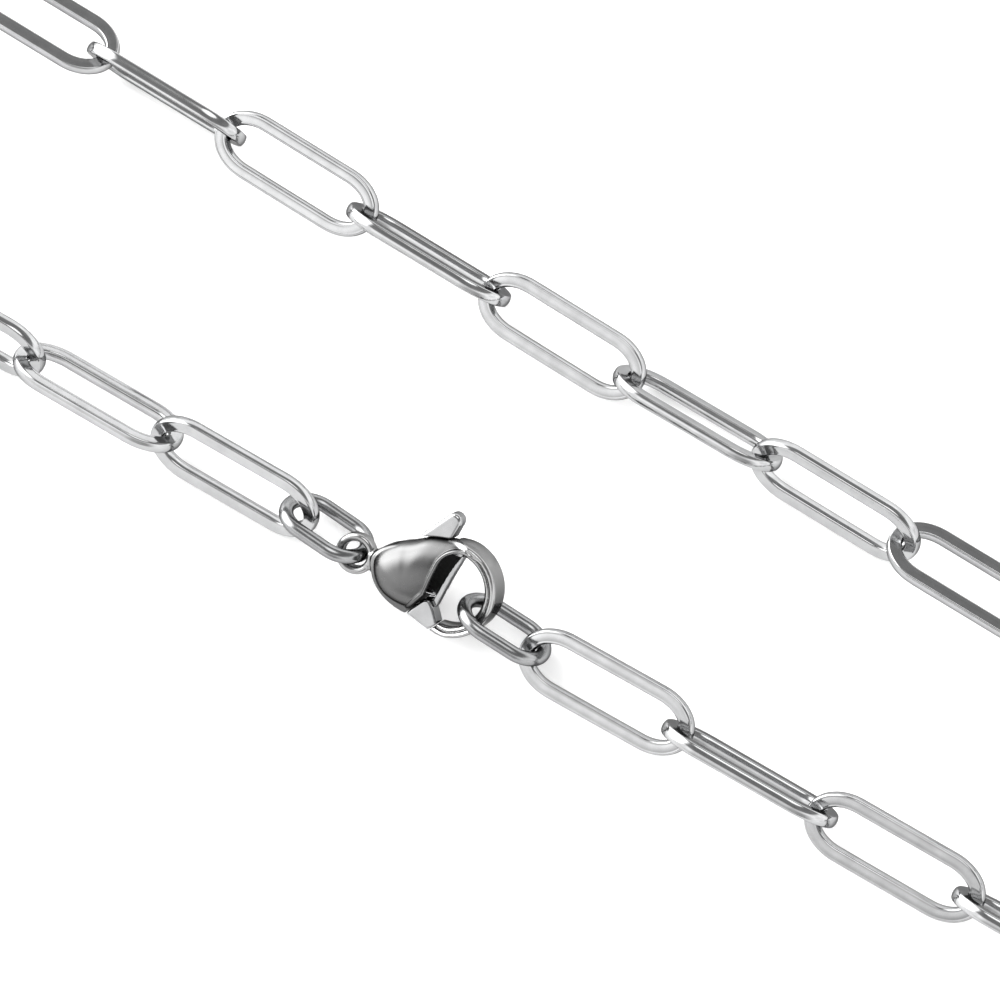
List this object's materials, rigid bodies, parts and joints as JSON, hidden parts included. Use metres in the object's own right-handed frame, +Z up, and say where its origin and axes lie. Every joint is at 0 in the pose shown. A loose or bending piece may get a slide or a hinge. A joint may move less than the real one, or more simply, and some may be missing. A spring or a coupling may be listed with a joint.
{
  "type": "chain necklace",
  "caption": "Flat cable chain necklace of long oval flattened-wire links with jump rings and a lobster clasp, lying as a closed narrow loop on a table.",
  "frame": {"origin": "middle of the laid loop, on the table that it lies on", "axes": "+X along the two strands, from the clasp towards its hook side; -Y towards the strand with the clasp; +Z up"},
  "size_m": [0.206, 0.0349, 0.006],
  "materials": {
    "link_steel": "polished stainless steel",
    "ring_steel": "polished stainless steel wire",
    "clasp_steel": "polished stainless steel, stamped and tumbled"
  },
  "bodies": {
    "chain": {"link_01": "link_steel", "link_02": "link_steel", "link_03": "link_steel", "link_04": "link_steel", "link_05": "link_steel", "link_06": "link_steel", "link_07": "link_steel", "link_08": "link_steel", "link_09": "link_steel", "link_10": "link_steel", "link_11": "link_steel", "link_12": "link_steel", "link_13": "link_steel", "link_14": "link_steel", "link_15": "link_steel", "link_16": "link_steel", "link_17": "link_steel", "link_18": "link_steel", "link_19": "link_steel", "link_20": "link_steel", "link_21": "link_steel", "link_22": "link_steel", "link_23": "link_steel", "link_24": "link_steel", "link_25": "link_steel", "link_26": "link_steel", "link_27": "link_steel", "link_28": "link_steel", "link_29": "link_steel", "link_30": "link_steel", "link_31": "link_steel", "link_32": "link_steel", "link_33": "link_steel", "link_34": "link_steel", "link_35": "link_steel", "link_36": "link_steel", "link_37": "link_steel", "link_38": "link_steel", "link_39": "link_steel", "link_40": "link_steel", "link_41": "link_steel", "link_42": "link_steel", "link_43": "link_steel", "jump_ring_left": "ring_steel", "jump_ring_right": "ring_steel", "clasp_body": "clasp_steel"},
    "lever": {"clasp_lever": "clasp_steel"}
  },
  "joints": [
    {"name": "lever_hinge", "type": "hinge", "parent": "chain", "child": "lever", "pos_m": [0.00529, -0.00952, 0.00213], "axis": [0.0118, -0.6427, 0.766], "range_deg": [0, 30], "stiffness_Nm_per_rad": 0.01, "springref_deg": -28.65}
  ]
}
